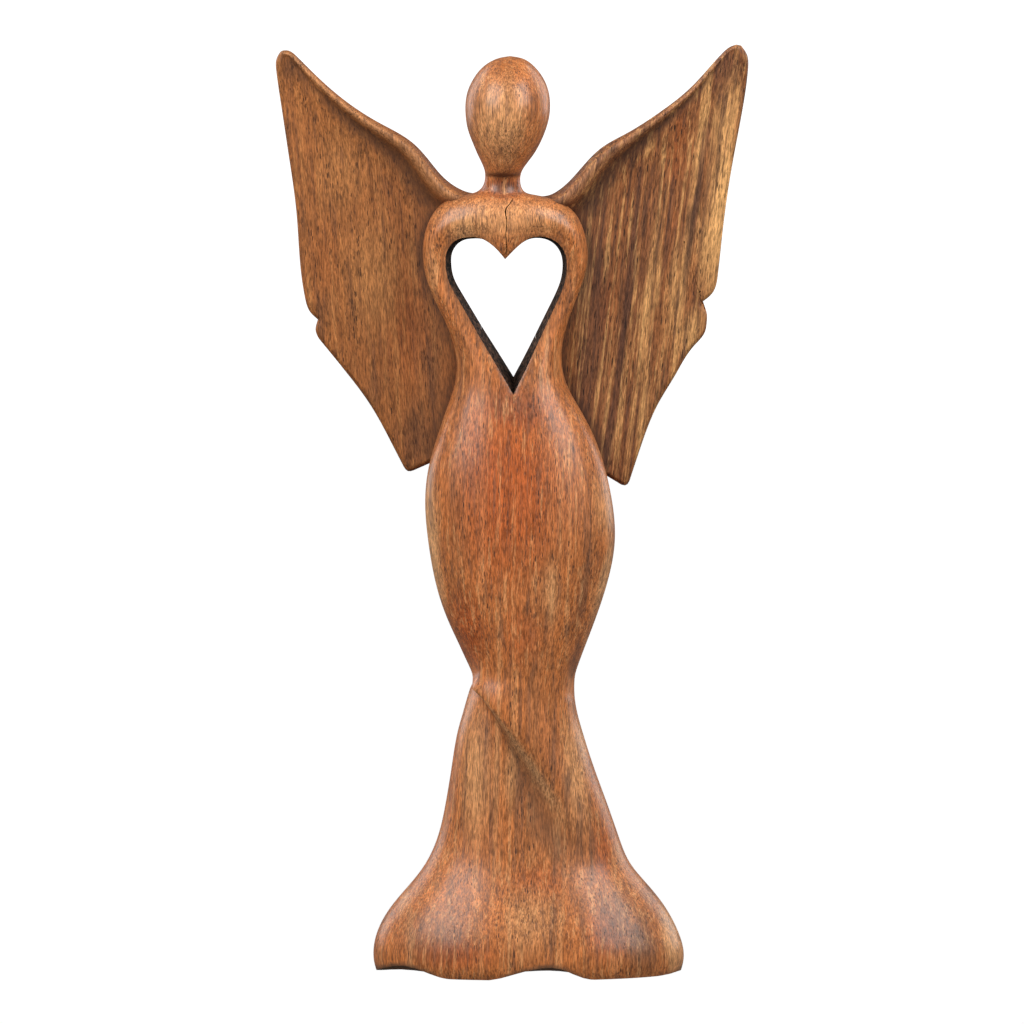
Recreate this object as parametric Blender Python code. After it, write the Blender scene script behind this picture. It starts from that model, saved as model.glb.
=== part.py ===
"""Carved wooden angel figurine with a heart-shaped opening between its arms.

The figure is one carving: an egg-shaped head, arms that close round the heart, and a gown that
twists and flares into a scalloped foot. Each wing is a carved board. Its root is let into a flat
seat in the figure's back, coped round the shoulder, glued, and held by two blind dowels.

The figure faces -Y and stands on Z = 0. Numbers below are millimetres, and MM turns them into metres.
"""

import math

import bmesh
import bpy
import numpy as np

MM = 0.001
SPAN_MIDDLE = -0.54  # X of the middle of the wings' span in the tables below. It is moved to X = 0

# Fits
GAP = 0.3  # clearance left between pieces that touch
SEAT_DEPTH = 4.5  # Y of the flat seats that the wings are glued to
DOWEL_RADIUS = 2.0
DOWEL_FRONT = -4.5  # Y of a dowel's front end, inside the figure
DOWEL_BACK = 7.6  # Y of its back end, inside the wing
DOWEL_CHAMFER = 0.5
DOWEL_SIDES = 16

# How finely the surfaces are divided
ROWS_PER_STATION = 2
FIGURE_COLUMNS = 44
WING_STEP = 5.0  # spacing along a wing's lower edge
WING_ROWS = 9
HEART_STEP = 3.0
HEM_STEP = 2.5

# The figure's outline at each height: height, left side, right side, depth to the front,
# depth to the back, and squareness of the section (2 is an ellipse).
FIGURE_STATIONS = [
    (0.0, -44.3, 54.0, 28.4, 28.2, 2.15),
    (3.0, -45.1, 54.8, 29.0, 29.0, 2.15),
    (6.0, -45.3, 54.9, 29.0, 29.0, 2.15),
    (12.0, -44.2, 53.3, 28.0, 28.0, 2.1),
    (20.0, -40.0, 49.2, 25.3, 25.0, 2.1),
    (28.0, -33.4, 43.0, 22.3, 21.5, 2.1),
    (35.0, -28.2, 37.4, 20.3, 19.2, 2.1),
    (43.0, -24.6, 34.0, 19.2, 17.6, 2.1),
    (55.0, -21.8, 29.8, 18.5, 16.6, 2.1),
    (66.0, -20.0, 25.8, 18.3, 16.3, 2.1),
    (78.0, -17.9, 22.0, 18.4, 16.6, 2.1),
    (84.0, -16.2, 20.4, 18.6, 16.9, 2.1),
    (89.5, -14.6, 19.6, 18.8, 17.2, 2.1),
    (93.5, -13.3, 19.6, 19.0, 17.5, 2.1),
    (95.0, -13.0, 19.7, 19.0, 17.6, 2.1),
    (98.5, -14.3, 20.6, 19.2, 17.9, 2.1),
    (105.0, -17.4, 23.0, 19.6, 18.6, 2.1),
    (116.5, -22.4, 27.3, 20.0, 19.8, 2.1),
    (128.0, -25.7, 30.8, 20.2, 20.5, 2.1),
    (139.5, -27.6, 32.6, 20.0, 20.6, 2.1),
    (151.0, -28.5, 31.8, 19.3, 19.8, 2.1),
    (163.0, -27.3, 29.2, 17.8, 17.6, 2.15),
    (172.5, -24.6, 25.9, 16.2, 15.2, 2.2),
    (182.0, -21.4, 21.0, 14.4, 12.8, 2.25),
    (189.0, -19.1, 17.2, 13.2, 11.5, 2.3),
    (196.0, -18.3, 15.5, 12.6, 10.8, 2.35),
    (202.5, -19.4, 15.7, 12.3, 10.4, 2.4),
    (210.0, -22.2, 17.6, 12.3, 10.2, 2.4),
    (217.5, -25.8, 20.3, 12.4, 10.2, 2.4),
    (225.0, -28.4, 22.9, 12.5, 10.2, 2.4),
    (232.0, -29.2, 23.8, 12.5, 10.2, 2.4),
    (238.5, -28.4, 22.6, 12.1, 10.0, 2.4),
    (243.5, -26.4, 20.4, 11.3, 9.5, 2.35),
    (247.2, -23.4, 16.6, 9.9, 8.7, 2.3),
    (249.4, -19.4, 11.4, 8.6, 7.8, 2.2),
    (250.6, -14.8, 5.6, 7.4, 7.0, 2.1),
    (251.6, -11.4, 3.2, 6.7, 6.4, 2.0),
    (253.4, -9.8, 2.3, 6.3, 6.0, 2.0),
    (255.8, -9.2, 2.1, 6.5, 6.0, 2.0),
    (257.4, -9.2, 2.4, 8.2, 6.3, 2.0),
    (259.6, -9.8, 3.6, 10.4, 7.6, 2.0),
    (263.2, -11.5, 6.3, 12.8, 10.0, 2.0),
    (267.2, -13.2, 8.6, 14.4, 12.3, 2.0),
    (271.3, -14.7, 10.3, 15.6, 14.2, 2.0),
    (275.4, -15.4, 11.4, 16.3, 15.4, 2.0),
    (279.5, -15.5, 11.7, 16.3, 15.8, 2.0),
    (283.6, -14.8, 11.2, 15.3, 15.2, 2.0),
    (287.7, -12.9, 9.6, 13.1, 13.1, 2.0),
    (291.4, -9.9, 6.8, 9.8, 9.9, 2.0),
    (293.9, -5.9, 3.5, 5.6, 5.7, 2.0),
]
HEAD_TOP = (-1.2, 294.9)  # X and Z of the crown

# The two folds of the twisted gown. A fold is a step that winds round the figure: the cloth above
# and to the right of its line stands proud of the cloth below. The line is height and azimuth in
# degrees (0 is the front, -90 the left side); height and width are those of the step.
FOLDS = [
    {
        "line": [
            (33, 38), (37, 34.5), (51, 21), (68, 4), (79, -14), (87, -35),
            (92, -56), (97.5, -90), (104, -122), (115, -160),
        ],
        "height": [(30, 0.0), (40, 0.4), (54, 1.4), (68, 2.0), (88, 2.3), (98, 2.0), (108, 1.1), (118, 0.0)],
        "width": [(34, 7.0), (60, 4.0), (80, 2.0), (98, 1.4), (116, 3.0)],
    },
    {
        "line": [
            (33, 224), (49, 204), (65, 178), (78, 150), (85, 120),
            (90, 98), (95, 82), (101, 70), (107, 62), (115, 56),
        ],
        "height": [(30, 0.0), (44, 0.7), (62, 1.5), (76, 1.4), (85, 0.9), (92, 0.5), (98, 0.3), (112, 0.0)],
        "width": [(34, 7.0), (60, 4.2), (78, 3.4), (95, 3.8), (116, 4.2)],
    },
]
FOLD_REACH = 13.0  # how far round the figure a fold's swell carries
COLUMN_CROWDING = 0.55  # how far the columns of faces crowd towards the folds

# The wave cut into the foot's underside, from the left end to the right, as X and height.
# The figure stands on the two flats in it.
HEM_WAVE = [
    (-48.0, 0.8), (-44.0, 1.4), (-40.0, 2.9), (-36.6, 3.6),
    (-32.4, 3.0), (-28.2, 1.5), (-24.6, 0.4), (-22.0, 0.0),
    (-9.0, 0.0), (-5.6, 0.6), (-1.0, 1.9), (3.0, 3.0), (7.0, 3.8), (10.6, 4.1), (14.4, 3.4), (18.0, 1.8),
    (21.4, 0.5), (24.0, 0.0), (46.0, 0.0), (50.0, 0.3), (53.0, 0.9), (56.0, 2.0), (58.0, 3.0),
]
HEM_SKEW = 3.0  # how far the wave moves to the left between the foot's front and its back

# The heart's outline on the front plane, as X and Z. It has a corner at the cusp and at the point.
HEART_LEFT = [
    (-2.8, 230.2), (-5.4, 233.3), (-8.4, 235.8), (-11.8, 237.3),
    (-14.9, 237.4), (-18.2, 236.8), (-20.9, 234.8),
    (-22.4, 231.8), (-22.6, 228.3), (-21.9, 223.9), (-19.2, 218.4),
    (-15.7, 212.5), (-10.8, 204.2), (-5.9, 196.3),
    (-0.1, 186.7),
]
HEART_RIGHT = [
    (-0.1, 186.7), (3.4, 193.5), (7.0, 200.8), (11.0, 209.1), (14.6, 216.4), (17.0, 222.4), (17.7, 227.9),
    (17.2, 231.5), (15.2, 234.9), (12.3, 236.9), (8.9, 237.6), (5.4, 237.1), (2.4, 235.3), (-0.3, 232.8),
    (-2.8, 230.2),
]
HEART_MIDDLE = (-2.4, 217.0)  # the walls lean in towards this point
HEART_FRONT = -13.0  # Y of the plane that the outline lies on
HEART_BACK_SCALE = 0.88  # size of the opening 24 mm behind that plane
HEART_BACK_SHIFT = (0.3, 0.9)
HEART_DEPTH = 24.0

# Each wing's edges as X and Z, from the root outwards. The top edge is one smooth curve, and the
# lower edge is several that meet at corners.
LEFT_TOP = [
    (-10.5, 250.6), (-14.2, 250.9), (-18.2, 252.5), (-22.8, 256.0),
    (-27.3, 261.3), (-32.6, 266.9), (-43.4, 273.3),
    (-54.4, 280.4), (-63.6, 288.3), (-69.9, 294.5), (-72.8, 296.4), (-74.4, 296.4),
]
LEFT_LOWER = [
    [(-10.5, 170.6), (-20.0, 166.6), (-27.2, 163.4), (-32.2, 161.1)],
    [(-32.2, 161.1), (-34.2, 160.8), (-35.5, 162.2)],
    [(-35.5, 162.2), (-39.1, 169.2), (-46.2, 182.0), (-54.7, 193.4), (-62.9, 203.4)],
    [(-62.9, 203.4), (-64.0, 206.1), (-63.2, 209.6)],
    [(-63.2, 209.6), (-66.0, 212.4), (-67.4, 216.6), (-68.7, 225.0), (-70.1, 243.8), (-72.7, 263.2),
     (-74.9, 278.0), (-76.6, 290.0), (-76.5, 293.7), (-75.2, 296.0)],
]
RIGHT_TOP = [
    (7.0, 249.8), (10.8, 249.9), (14.4, 251.6), (20.7, 257.6), (28.2, 265.2), (36.4, 269.9), (46.6, 276.3),
    (56.9, 284.4), (67.1, 295.4), (69.8, 297.6), (71.8, 298.3),
]
RIGHT_LOWER = [
    [(7.0, 171.2), (23.4, 163.2), (30.2, 159.2), (34.8, 156.4)],
    [(34.8, 156.4), (36.3, 156.2), (37.4, 157.6)],
    [(37.4, 157.6), (41.1, 168.8), (46.5, 182.2), (52.1, 191.6), (58.4, 201.3), (61.7, 205.4), (62.4, 209.0),
     (62.4, 211.6), (60.7, 215.2)],
    [(60.7, 215.2), (64.3, 218.3), (66.0, 224.4), (67.4, 237.4), (70.1, 256.9), (73.6, 276.0), (75.6, 290.2),
     (75.3, 294.9), (73.3, 298.0)],
]
WING_SWEEP = math.radians(9)  # the wings lean back from the figure's sides
SWEEP_START = 20.0  # distance out from the middle plane at which the lean starts
WING_THICKNESS = [(10, 6.2), (30, 6.0), (55, 5.0), (76, 4.0)]  # distance out, thickness
WING_DISH = 1.3  # how far the front is hollowed
DISH_MARGIN = 15.0  # the hollow reaches its depth this far in from the edges
RIDGE_HEIGHT = [(8, 9.5), (20, 9.0), (27, 6.0), (36, 3.9), (46, 2.6), (58, 1.6), (70, 0.7), (76, 0.2)]
RIDGE_WIDTH = [(8, 4.6), (24, 4.6), (34, 3.8), (46, 2.7), (58, 2.0), (76, 1.2)]
RIDGE_COVE = 1.7  # the cove under the ridge, as a multiple of the ridge's width

DOWELS = {
    "left_wing_upper_dowel": (-18.5, 243.8),
    "left_wing_lower_dowel": (-17.0, 176.4),
    "right_wing_upper_dowel": (13.8, 243.2),
    "right_wing_lower_dowel": (14.6, 175.2),
}


# ---- Curves ----


def cubic(knots, values, at):
    """Values of the natural cubic spline through the knots."""
    knots, values, at = np.array(knots, float), np.array(values, float), np.array(at, float)
    if values.ndim == 1:
        values = values[:, None]
    count, step = len(knots), np.diff(knots)
    system = np.eye(count)
    right = np.zeros_like(values)
    for i in range(1, count - 1):
        system[i, i - 1 : i + 2] = step[i - 1], 2 * (step[i - 1] + step[i]), step[i]
        slopes = (values[i + 1] - values[i]) / step[i] - (values[i] - values[i - 1]) / step[i - 1]
        right[i] = 6 * slopes
    bend = np.linalg.solve(system, right)
    i = np.clip(np.searchsorted(knots, at, side="right") - 1, 0, count - 2)
    h = step[i][:, None]
    a = (knots[i + 1] - at)[:, None] / h
    b = 1 - a
    curve = a * values[i] + b * values[i + 1]
    return curve + ((a**3 - a) * bend[i] + (b**3 - b) * bend[i + 1]) * h**2 / 6


def chord_lengths(points):
    """Distance along a row of points, from its start."""
    steps = np.linalg.norm(np.diff(np.array(points, float), axis=0), axis=1)
    return np.concatenate([[0.0], np.cumsum(steps)])


def smooth_line(points, step):
    """Points about one step apart on a smooth curve through the given ones."""
    along = chord_lengths(points)
    pieces = max(len(points) - 1, round(along[-1] / step))
    return cubic(along, points, np.linspace(0, along[-1], pieces + 1))


def smooth_flats(points):
    """A smooth curve through the points that keeps each level stretch between two of them level."""
    curve, run = [], [points[0]]
    for before, point in zip(points[:-1], points[1:]):
        if before[1] == point[1]:
            curve += [tuple(p) for p in smooth_line(run, HEM_STEP)]
            run = []
        run.append(point)
    return curve + [tuple(p) for p in smooth_line(run, HEM_STEP)]


def between(table, at):
    """Straight-line reading of a table of (place, value)."""
    places, values = zip(*table)
    return np.interp(at, places, values)


def smoothstep(low, high, value):
    t = np.clip((value - low) / (high - low), 0, 1)
    return t * t * (3 - 2 * t)


def distance_to_line(x, z, line):
    """Shortest distance from each (x, z) to a row of points."""
    nearest = np.full(np.shape(x), np.inf)
    for (x0, z0), (x1, z1) in zip(line[:-1], line[1:]):
        dx, dz = x1 - x0, z1 - z0
        t = np.clip(((x - x0) * dx + (z - z0) * dz) / (dx * dx + dz * dz), 0, 1)
        nearest = np.minimum(nearest, np.hypot(x - x0 - t * dx, z - z0 - t * dz))
    return nearest


# ---- The figure's surface ----


def figure_sections():
    """Rows of (height, left, right, front, back, squareness), ROWS_PER_STATION for each station."""
    stations = np.array(FIGURE_STATIONS)
    profile = np.column_stack([stations[:, 0], (stations[:, 2] - stations[:, 1]) / 2, stations[:, 3]])
    along = chord_lengths(profile)
    spans = zip(along[:-1], along[1:])
    rows = [np.linspace(a, b, ROWS_PER_STATION, endpoint=False) for a, b in spans]
    places = np.concatenate([*rows, along[-1:]])
    return cubic(along, stations, places)


def fold_azimuth(fold, height):
    places, angles = zip(*fold["line"])
    return float(cubic(places, angles, [min(max(height, places[0]), places[-1])])[0, 0])


def fold_swell(azimuth, height, radius):
    """How far the gown's folds push the surface out at these azimuths, in millimetres."""
    swell = np.zeros_like(azimuth)
    for fold in FOLDS:
        line = math.radians(fold_azimuth(fold, height))
        turn = (azimuth - line + math.pi) % (2 * math.pi) - math.pi
        away = turn * radius
        step = np.tanh(away / between(fold["width"], height))
        swell += between(fold["height"], height) * step * np.exp(-((away / FOLD_REACH) ** 2))
    return swell


def column_azimuths(height):
    """Azimuths of the columns of faces at this height. They follow the folds and crowd round them."""
    height = min(max(height, 30.0), 116.0)
    first, second = (math.radians(fold_azimuth(fold, height)) for fold in FOLDS)
    crowding = COLUMN_CROWDING * smoothstep(30, 42, height) * smoothstep(116, 106, height)
    half = FIGURE_COLUMNS // 2
    share = np.arange(half) / half
    share = share - crowding * np.sin(2 * math.pi * share) / (2 * math.pi)
    return np.concatenate([first + (second - first) * share, second + (first + 2 * math.pi - second) * share])


def section_ring(section, azimuth):
    """X and Y round one section. The folds are added, then its sides are drawn back to its outline."""
    height, left, right, front, back, square = section
    middle, half = (left + right) / 2, (right - left) / 2
    s, c = np.sin(azimuth), np.cos(azimuth)
    out = fold_swell(azimuth, height, math.sqrt(half * (front + back) / 2))
    across = np.sign(s) * np.abs(s) ** (2 / square)
    x = middle + half * across + out * s
    depth = np.where(c > 0, front, back)
    y = -depth * np.sign(c) * np.abs(c) ** (2 / square) - out * c
    x = x + (left - x.min()) * smoothstep(0.62, 1, -across) + (right - x.max()) * smoothstep(0.62, 1, across)
    return x, y


def figure_rings():
    """Rings of points from the foot, which starts below the ground, to the crown."""
    rings = []
    for section in figure_sections():
        azimuth = column_azimuths(section[0])
        x, y = section_ring(section, azimuth)
        rings.append(np.column_stack([x, y, np.full_like(x, section[0])]))
    foot = rings[0] * [1, 1, 0] - [0, 0, 2.0]
    return [foot, *rings]


def figure_back(x, z):
    """Y of the figure's back at X and Z, ignoring the seats, and how far out X lies (1 is the outline)."""
    sections = figure_sections()
    left, right, depth, square = (np.interp(z, sections[:, 0], sections[:, k]) for k in (1, 2, 4, 5))
    share = np.clip(np.abs(x - (left + right) / 2) / ((right - left) / 2), 0, 1)
    return depth * (1 - share**square) ** (1 / square), share


# ---- Making meshes ----


def mesh_object(name, points, faces):
    """An object from points in millimetres, with its faces turned outwards."""
    mesh = bpy.data.meshes.new(name)
    placed = (np.array(points, float) - [SPAN_MIDDLE, 0, 0]) * MM
    mesh.from_pydata(placed.tolist(), [], faces)
    shape = bmesh.new()
    shape.from_mesh(mesh)
    bmesh.ops.recalc_face_normals(shape, faces=shape.faces)
    shape.to_mesh(mesh)
    shape.free()
    mesh.shade_smooth()
    mesh.set_sharp_from_angle(angle=math.radians(35))
    obj = bpy.data.objects.new(name, mesh)
    bpy.context.scene.collection.objects.link(obj)
    return obj


def make_cutter(obj):
    obj.hide_render = True
    obj.display_type = "WIRE"
    return obj


def cut(obj, cutter, operation="DIFFERENCE"):
    modifier = obj.modifiers.new(cutter.name, "BOOLEAN")
    modifier.operation = operation
    modifier.solver = "EXACT"
    modifier.object = cutter


def bridge(rings, closed):
    """Quads between each ring of point numbers and the next."""
    faces = []
    for a, b in zip(rings[:-1], rings[1:]):
        for i in range(len(a) if closed else len(a) - 1):
            j = (i + 1) % len(a)
            faces.append([a[i], a[j], b[j], b[i]])
    return faces


def carved_body(name):
    """The figure's outer form, before anything is cut from it."""
    rings = figure_rings()
    points = np.vstack(rings)
    numbers = np.arange(len(points)).reshape(len(rings), FIGURE_COLUMNS)
    faces = bridge(numbers, closed=True)
    faces.append(list(numbers[0]))
    crown = len(points)
    points = np.vstack([points, [HEAD_TOP[0], 0.0, HEAD_TOP[1]]])
    last = numbers[-1]
    faces += [[last[i], last[(i + 1) % FIGURE_COLUMNS], crown] for i in range(FIGURE_COLUMNS)]
    return mesh_object(name, points, faces)


def prism(name, outline, front, back, back_outline=None):
    """A closed solid between an outline at Y = front and one at Y = back."""
    back_outline = outline if back_outline is None else back_outline
    count = len(outline)
    points = [(x, front, z) for x, z in outline] + [(x, back, z) for x, z in back_outline]
    numbers = np.arange(2 * count).reshape(2, count)
    faces = bridge(numbers, closed=True) + [list(numbers[0]), list(numbers[1])]
    return mesh_object(name, points, faces)


def hem_cutter():
    """Everything below the wave in the foot's underside."""
    wave = smooth_flats(HEM_WAVE)
    half = HEM_SKEW / 2
    front = [(x + half, z) for x, z in wave] + [(70.0, -6.0), (-60.0, -6.0)]
    back = [(x - half, z) for x, z in wave] + [(70.0, -6.0), (-60.0, -6.0)]
    return make_cutter(prism("hem_cutter", front, -34.0, 34.0, back))


def heart_cutter():
    """The heart-shaped opening. It narrows towards the back, because its walls lean in."""
    outline = np.vstack([smooth_line(HEART_LEFT, HEART_STEP)[:-1], smooth_line(HEART_RIGHT, HEART_STEP)[:-1]])
    middle = np.array(HEART_MIDDLE)

    def outline_at(y):
        share = (y - HEART_FRONT) / HEART_DEPTH
        size = 1 + (HEART_BACK_SCALE - 1) * share
        return middle + (outline - middle) * size + np.array(HEART_BACK_SHIFT) * share

    front, back = HEART_FRONT - 8, HEART_FRONT + HEART_DEPTH + 8
    return make_cutter(prism("heart_cutter", outline_at(front), front, back, outline_at(back)))


def cylinder(name, x, z, radius, front, back, chamfer=0.0):
    """A round bar along Y, with chamfered ends if asked."""
    rings = [(front, radius), (back, radius)]
    if chamfer:
        rings = [(front, radius - chamfer), (front + chamfer, radius)]
        rings += [(back - chamfer, radius), (back, radius - chamfer)]
    points = []
    for y, r in rings:
        for i in range(DOWEL_SIDES):
            angle = 2 * math.pi * i / DOWEL_SIDES
            points.append((x + r * math.cos(angle), y, z + r * math.sin(angle)))
    numbers = np.arange(len(points)).reshape(len(rings), DOWEL_SIDES)
    faces = bridge(numbers, closed=True) + [list(numbers[0]), list(numbers[-1])]
    return mesh_object(name, points, faces)


# ---- The wings ----


def wing_depths(x, z, side, top):
    """Y of a wing's front and back at X and Z, with the ridge along its top edge."""
    out = side * x
    lean = np.tan(WING_SWEEP) * np.maximum(0, out - SWEEP_START)
    base = SEAT_DEPTH + GAP + lean
    from_top = distance_to_line(x, z, top)
    width = between(RIDGE_WIDTH, out)
    rise = np.clip(1 - from_top / width, 0, 1)
    cove = smoothstep(1 + RIDGE_COVE, 1, from_top / width)
    ridge = between(RIDGE_HEIGHT, out) * np.where(from_top < width, np.sqrt(1 - rise**2) * 0.75 + 0.25, cove)
    hollow = WING_DISH * smoothstep(0, DISH_MARGIN, from_top) * smoothstep(SWEEP_START, SWEEP_START + 14, out)
    front = base + hollow - ridge
    flush, share = figure_back(x, z)
    free = smoothstep(0.5, 0.95, share)
    back = (1 - free) * np.maximum(flush, base + 3.6) + free * (base + between(WING_THICKNESS, out))
    return front, back


def wing_board(name, side, top_points, lower_runs):
    """A wing between its top edge and its lower edge, front and back."""
    runs = [smooth_line(run, WING_STEP) for run in lower_runs]
    lower = np.vstack([runs[0][:1]] + [run[1:] for run in runs])
    along = chord_lengths(top_points)
    top = cubic(along, top_points, np.linspace(0, along[-1], len(lower)))
    share = (0.5 - 0.5 * np.cos(np.linspace(0, math.pi, WING_ROWS + 1)))[:, None, None]
    grid = top[None] * (1 - share) + lower[None] * share
    x, z = grid[..., 0], grid[..., 1]
    front, back = wing_depths(x, z, side, top)
    rows, columns = x.shape
    points = np.vstack([np.dstack([x, y, z]).reshape(-1, 3) for y in (front, back)])
    numbers = np.arange(2 * rows * columns).reshape(2, rows, columns)
    faces = bridge(numbers[0], closed=False) + bridge(numbers[1], closed=False)
    rims = [numbers[..., 0, :], numbers[..., -1, :], numbers[..., :, 0], numbers[..., :, -1]]
    for rim in rims:
        faces += bridge(rim, closed=False)
    return mesh_object(name, points, faces)


def seat_cutter(name, side, lower_runs):
    """The pocket in the figure's back that takes a wing's root. It is open at the top and the side."""
    inner = lower_runs[0][0][0] - side * GAP
    floor = [(x, z - GAP) for x, z in lower_runs[0][1:-1]]
    beyond = side * 45.0
    outline = [(inner, 260.0), (inner, lower_runs[0][0][1] - GAP), *floor, (beyond, 148.0), (beyond, 260.0)]
    return make_cutter(prism(name, outline, SEAT_DEPTH, 40.0))


def shoulder_cutter():
    """The figure's form, a gap larger all round, in front of the seats. It copes a wing's root."""
    grown = carved_body("shoulder_form")
    mesh = grown.data
    for vertex, normal in zip(mesh.vertices, [v.normal.copy() for v in mesh.vertices]):
        vertex.co += normal * GAP * MM
    box = [(-60, 140), (60, 140), (60, 280), (-60, 280)]
    in_front = make_cutter(prism("in_front_of_seats", box, -60.0, SEAT_DEPTH + GAP))
    cut(grown, in_front, "INTERSECT")
    return make_cutter(grown)


# ---- Materials ----


def wood(name, colour, roughness):
    material = bpy.data.materials.new(name)
    material.use_nodes = True
    shader = material.node_tree.nodes["Principled BSDF"]
    shader.inputs["Base Color"].default_value = (*colour, 1)
    shader.inputs["Roughness"].default_value = roughness
    shader.inputs["Metallic"].default_value = 0.0
    return material


def main():
    for obj in list(bpy.data.objects):
        bpy.data.objects.remove(obj)

    figure_wood = wood("figure_wood", (0.42, 0.155, 0.055), 0.4)
    wing_wood = wood("wing_wood", (0.29, 0.125, 0.048), 0.5)
    dowel_wood = wood("dowel_wood", (0.62, 0.42, 0.22), 0.6)

    heart = heart_cutter()
    shoulder = shoulder_cutter()
    seats = [
        seat_cutter("left_seat_cutter", -1, LEFT_LOWER),
        seat_cutter("right_seat_cutter", 1, RIGHT_LOWER),
    ]
    bores = {}
    for name, (x, z) in DOWELS.items():
        bores[name] = make_cutter(
            cylinder(name + "_bore", x, z, DOWEL_RADIUS + GAP, DOWEL_FRONT - GAP, DOWEL_BACK + GAP)
        )

    figure = carved_body("figure")
    for cutter in [hem_cutter(), heart, *seats, *bores.values()]:
        cut(figure, cutter)
    figure.data.materials.append(figure_wood)

    for name, side, top, lower in [
        ("left_wing", -1, LEFT_TOP, LEFT_LOWER),
        ("right_wing", 1, RIGHT_TOP, RIGHT_LOWER),
    ]:
        wing = wing_board(name, side, top, lower)
        cut(wing, shoulder)
        cut(wing, heart)
        for dowel, bore in bores.items():
            if dowel.startswith(name):
                cut(wing, bore)
        wing.data.materials.append(wing_wood)

    for name, (x, z) in DOWELS.items():
        dowel = cylinder(name, x, z, DOWEL_RADIUS, DOWEL_FRONT, DOWEL_BACK, DOWEL_CHAMFER)
        dowel.data.materials.append(dowel_wood)


main()
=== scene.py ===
# Carved wooden angel figurine: the looks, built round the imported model.
import math

import bmesh
import bpy
import numpy as np
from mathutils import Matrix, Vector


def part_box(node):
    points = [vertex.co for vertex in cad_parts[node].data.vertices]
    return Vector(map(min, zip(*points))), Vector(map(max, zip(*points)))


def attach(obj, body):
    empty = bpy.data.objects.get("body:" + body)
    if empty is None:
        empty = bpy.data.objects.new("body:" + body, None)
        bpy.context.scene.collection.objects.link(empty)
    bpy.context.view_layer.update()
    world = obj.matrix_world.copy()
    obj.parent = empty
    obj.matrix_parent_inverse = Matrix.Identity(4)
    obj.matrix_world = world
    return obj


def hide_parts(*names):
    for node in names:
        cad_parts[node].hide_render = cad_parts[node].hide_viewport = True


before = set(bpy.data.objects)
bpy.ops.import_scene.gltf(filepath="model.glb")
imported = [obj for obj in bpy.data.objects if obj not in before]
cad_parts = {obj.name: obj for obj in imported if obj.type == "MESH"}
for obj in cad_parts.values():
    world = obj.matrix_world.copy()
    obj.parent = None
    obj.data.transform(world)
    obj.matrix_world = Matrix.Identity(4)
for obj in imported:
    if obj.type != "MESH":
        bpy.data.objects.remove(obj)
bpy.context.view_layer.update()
mm = 0.001


# Curves and small sums, all in millimetres

def cubicCurve(knots, values, at):
    # the natural cubic spline through the knots
    knots, values, at = np.array(knots, float), np.array(values, float), np.array(at, float)
    if values.ndim == 1:
        values = values[:, None]
    count, step = len(knots), np.diff(knots)
    system = np.eye(count)
    right = np.zeros_like(values)
    for i in range(1, count - 1):
        system[i, i - 1:i + 2] = step[i - 1], 2 * (step[i - 1] + step[i]), step[i]
        right[i] = 6 * ((values[i + 1] - values[i]) / step[i] - (values[i] - values[i - 1]) / step[i - 1])
    bend = np.linalg.solve(system, right)
    i = np.clip(np.searchsorted(knots, at, side="right") - 1, 0, count - 2)
    h = step[i][:, None]
    a = (knots[i + 1] - at)[:, None] / h
    b = 1 - a
    straight = a * values[i] + b * values[i + 1]
    return straight + ((a ** 3 - a) * bend[i] + (b ** 3 - b) * bend[i + 1]) * h ** 2 / 6


def chordLengths(points):
    steps = np.linalg.norm(np.diff(np.array(points, float), axis=0), axis=1)
    return np.concatenate([[0.0], np.cumsum(steps)])


def smoothLine(points, step):
    along = chordLengths(points)
    pieces = max(len(points) - 1, round(along[-1] / step))
    return cubicCurve(along, points, np.linspace(0, along[-1], pieces + 1))


def readTable(table, at):
    places, values = zip(*table)
    return np.interp(at, places, values)


def ease(low, high, value):
    t = np.clip((value - low) / (high - low), 0, 1)
    return t * t * (3 - 2 * t)


def lineDistance(x, z, line):
    # shortest distance from each (x, z) to a row of points
    nearest = np.full(np.shape(x), np.inf)
    for (x0, z0), (x1, z1) in zip(line[:-1], line[1:]):
        dx, dz = x1 - x0, z1 - z0
        t = np.clip(((x - x0) * dx + (z - z0) * dz) / (dx * dx + dz * dz + 1e-12), 0, 1)
        nearest = np.minimum(nearest, np.hypot(x - x0 - t * dx, z - z0 - t * dz))
    return nearest


def insideLine(x, z, line):
    # True for each (x, z) inside a closed row of points
    inside = np.zeros(np.shape(x), bool)
    for (x0, z0), (x1, z1) in zip(line, np.roll(line, -1, axis=0)):
        if z0 == z1:
            continue
        crosses = ((z0 > z) != (z1 > z)) & (x < (x1 - x0) * (z - z0) / (z1 - z0) + x0)
        inside ^= crosses
    return inside


def softenRows(rows, passes):
    # evens out small waves between the stations, and keeps both ends where they are
    for _ in range(passes):
        rows[1:-1] = rows[1:-1] * 0.5 + (rows[:-2] + rows[2:]) * 0.25
    return rows


# The figure: one carving from foot to crown

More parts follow.
